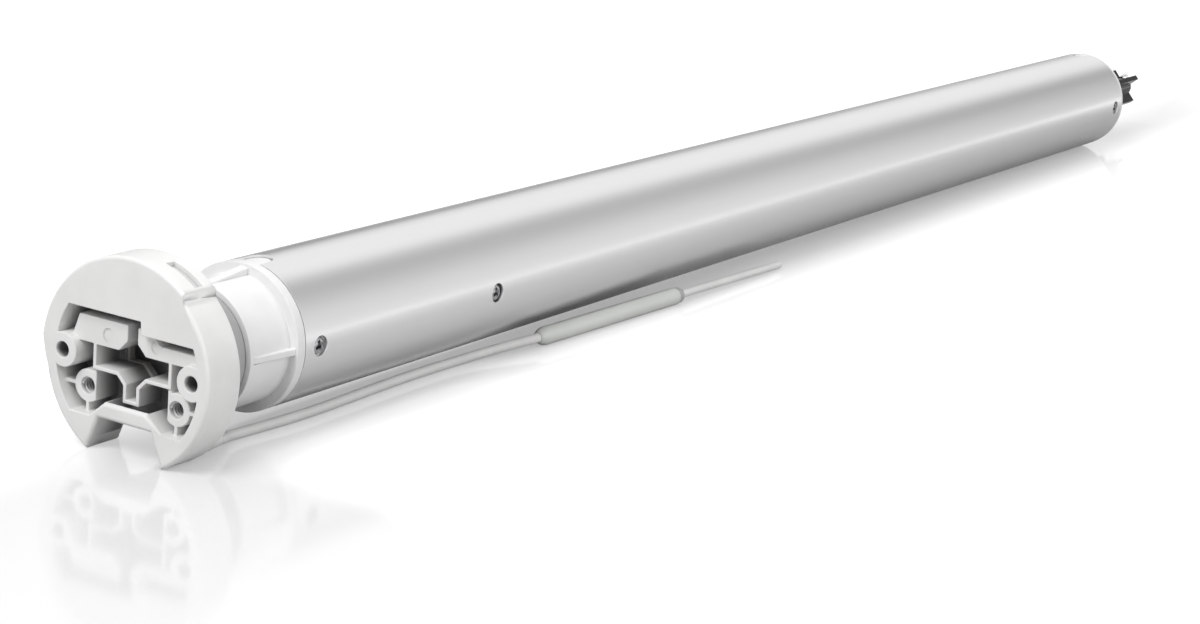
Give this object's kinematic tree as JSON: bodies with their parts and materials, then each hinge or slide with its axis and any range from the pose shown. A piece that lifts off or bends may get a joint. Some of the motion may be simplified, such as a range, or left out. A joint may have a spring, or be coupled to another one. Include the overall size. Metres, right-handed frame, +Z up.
{
  "type": "tubular blind motor",
  "caption": "Tubular motor for a roller blind: round mounting head with bracket socket and antenna lead, idler crown, metal housing tube and a cross-shaped output shaft driven by planet gears.",
  "frame": {"origin": "on the tube's axis at the head's mounting face, at the middle of the bracket socket", "axes": "+X along the tube to the output shaft, +Z up as the motor rests, +Y away from the antenna's side"},
  "size_m": [0.793, 0.0635, 0.0605],
  "materials": {
    "white_plastic": "satin moulded plastic",
    "lead_sheath": "smooth soft sheath",
    "sleeve_sheath": "shrunk tube",
    "housing_metal": "satin",
    "screw_metal": "bright",
    "gear_steel": "machined",
    "dark_metal": "dark plated",
    "pin_brass": "bright",
    "magnet_steel": "plain",
    "bearing_steel": "ground",
    "shield_alloy": "cast",
    "winding_copper": "enamelled wire",
    "lining": "friction lining",
    "circuit_board": "board",
    "dark_plastic": "plain",
    "green_plastic": "plain"
  },
  "bodies": {
    "motor": {"head_body": "white_plastic", "prog_switch": "dark_plastic", "mains_inlet": "white_plastic", "inlet_pins": "pin_brass", "sensor_board": "circuit_board", "tube_adapter": "white_plastic", "housing_tube": "housing_metal", "tube_screws": "screw_metal", "end_cap": "white_plastic", "antenna_gland": "white_plastic", "antenna_lead": "lead_sheath", "antenna_sleeve": "sleeve_sheath", "antenna_tip": "lead_sheath", "electronics_tray": "dark_plastic", "main_board": "circuit_board", "terminal_block": "green_plastic", "relays": "dark_plastic", "power_module": "dark_plastic", "board_capacitors": "dark_plastic", "radio_module": "circuit_board", "run_capacitor": "shield_alloy", "capacitor_cradle": "dark_plastic", "motor_leads": "winding_copper", "rear_shield": "shield_alloy", "rear_bearing": "bearing_steel", "stator_core": "magnet_steel", "stator_windings": "winding_copper", "front_shield": "shield_alloy", "front_bearing": "bearing_steel", "brake_plate": "magnet_steel", "brake_magnet": "magnet_steel", "brake_springs": "screw_metal", "gearbox_ring": "gear_steel", "gearbox_cover": "shield_alloy", "output_bearing": "bearing_steel"},
    "crown": {"crown": "white_plastic", "crown_magnets": "magnet_steel"},
    "button": {"prog_button": "white_plastic"},
    "rotor": {"rotor_core": "magnet_steel", "rotor_shaft": "gear_steel", "brake_lining": "lining"},
    "armature": {"brake_armature": "magnet_steel"},
    "carrier_1": {"stage_1_carrier": "gear_steel", "planet_pins_1": "screw_metal"},
    "carrier_2": {"stage_2_carrier": "gear_steel", "planet_pins_2": "screw_metal"},
    "output": {"output_carrier": "gear_steel", "planet_pins_3": "screw_metal", "output_shaft": "dark_metal", "circlip": "screw_metal"},
    "planet_1a": {"stage_1_planet_a": "gear_steel"},
    "planet_1b": {"stage_1_planet_b": "gear_steel"},
    "planet_1c": {"stage_1_planet_c": "gear_steel"},
    "planet_2a": {"stage_2_planet_a": "gear_steel"},
    "planet_2b": {"stage_2_planet_b": "gear_steel"},
    "planet_2c": {"stage_2_planet_c": "gear_steel"},
    "planet_3a": {"stage_3_planet_a": "gear_steel"},
    "planet_3b": {"stage_3_planet_b": "gear_steel"},
    "planet_3c": {"stage_3_planet_c": "gear_steel"}
  },
  "joints": [
    {"name": "output_spin", "type": "hinge", "parent": "motor", "child": "output", "pos_m": [0.6, 0, 0], "axis": [1, 0, 0], "continuous": true},
    {"name": "crown_spin", "type": "hinge", "parent": "motor", "child": "crown", "pos_m": [0.0428, 0, 0], "axis": [1, 0, 0], "continuous": true},
    {"name": "button_press", "type": "slide", "parent": "motor", "child": "button", "axis": [0, 0.4226, -0.9063], "range_m": [0, 0.0008], "stiffness_N_per_m": 300},
    {"name": "brake_release", "type": "slide", "parent": "motor", "child": "armature", "axis": [1, 0, 0], "range_m": [0, 0.00035], "stiffness_N_per_m": 20000},
    {"name": "rotor_spin", "type": "hinge", "parent": "motor", "child": "rotor", "pos_m": [0.45, 0, 0], "axis": [1, 0, 0], "continuous": true},
    {"name": "carrier_1_spin", "type": "hinge", "parent": "motor", "child": "carrier_1", "pos_m": [0.59, 0, 0], "axis": [1, 0, 0], "continuous": true},
    {"name": "carrier_2_spin", "type": "hinge", "parent": "motor", "child": "carrier_2", "pos_m": [0.61, 0, 0], "axis": [1, 0, 0], "continuous": true},
    {"name": "planet_1a_spin", "type": "hinge", "parent": "carrier_1", "child": "planet_1a", "pos_m": [0.59, 0.01013, 0], "axis": [1, 0, 0], "continuous": true},
    {"name": "planet_1b_spin", "type": "hinge", "parent": "carrier_1", "child": "planet_1b", "pos_m": [0.59, -0.00506, 0.00877], "axis": [1, 0, 0], "continuous": true},
    {"name": "planet_1c_spin", "type": "hinge", "parent": "carrier_1", "child": "planet_1c", "pos_m": [0.59, -0.00506, -0.00877], "axis": [1, 0, 0], "continuous": true},
    {"name": "planet_2a_spin", "type": "hinge", "parent": "carrier_2", "child": "planet_2a", "pos_m": [0.59, 0.01013, 0], "axis": [1, 0, 0], "continuous": true},
    {"name": "planet_2b_spin", "type": "hinge", "parent": "carrier_2", "child": "planet_2b", "pos_m": [0.59, -0.00506, 0.00877], "axis": [1, 0, 0], "continuous": true},
    {"name": "planet_2c_spin", "type": "hinge", "parent": "carrier_2", "child": "planet_2c", "pos_m": [0.59, -0.00506, -0.00877], "axis": [1, 0, 0], "continuous": true},
    {"name": "planet_3a_spin", "type": "hinge", "parent": "output", "child": "planet_3a", "pos_m": [0.59, 0.01013, 0], "axis": [1, 0, 0], "continuous": true},
    {"name": "planet_3b_spin", "type": "hinge", "parent": "output", "child": "planet_3b", "pos_m": [0.59, -0.00506, 0.00877], "axis": [1, 0, 0], "continuous": true},
    {"name": "planet_3c_spin", "type": "hinge", "parent": "output", "child": "planet_3c", "pos_m": [0.59, -0.00506, -0.00877], "axis": [1, 0, 0], "continuous": true}
  ],
  "couplings": [
    {"joint": "carrier_2_spin", "follows": "output_spin", "ratio": 4.5},
    {"joint": "carrier_1_spin", "follows": "output_spin", "ratio": 20.25},
    {"joint": "rotor_spin", "follows": "output_spin", "ratio": 91.125},
    {"joint": "planet_1a_spin", "follows": "output_spin", "ratio": -56.7},
    {"joint": "planet_1b_spin", "follows": "output_spin", "ratio": -56.7},
    {"joint": "planet_1c_spin", "follows": "output_spin", "ratio": -56.7},
    {"joint": "planet_2a_spin", "follows": "output_spin", "ratio": -12.6},
    {"joint": "planet_2b_spin", "follows": "output_spin", "ratio": -12.6},
    {"joint": "planet_2c_spin", "follows": "output_spin", "ratio": -12.6},
    {"joint": "planet_3a_spin", "follows": "output_spin", "ratio": -2.8},
    {"joint": "planet_3b_spin", "follows": "output_spin", "ratio": -2.8},
    {"joint": "planet_3c_spin", "follows": "output_spin", "ratio": -2.8}
  ]
}
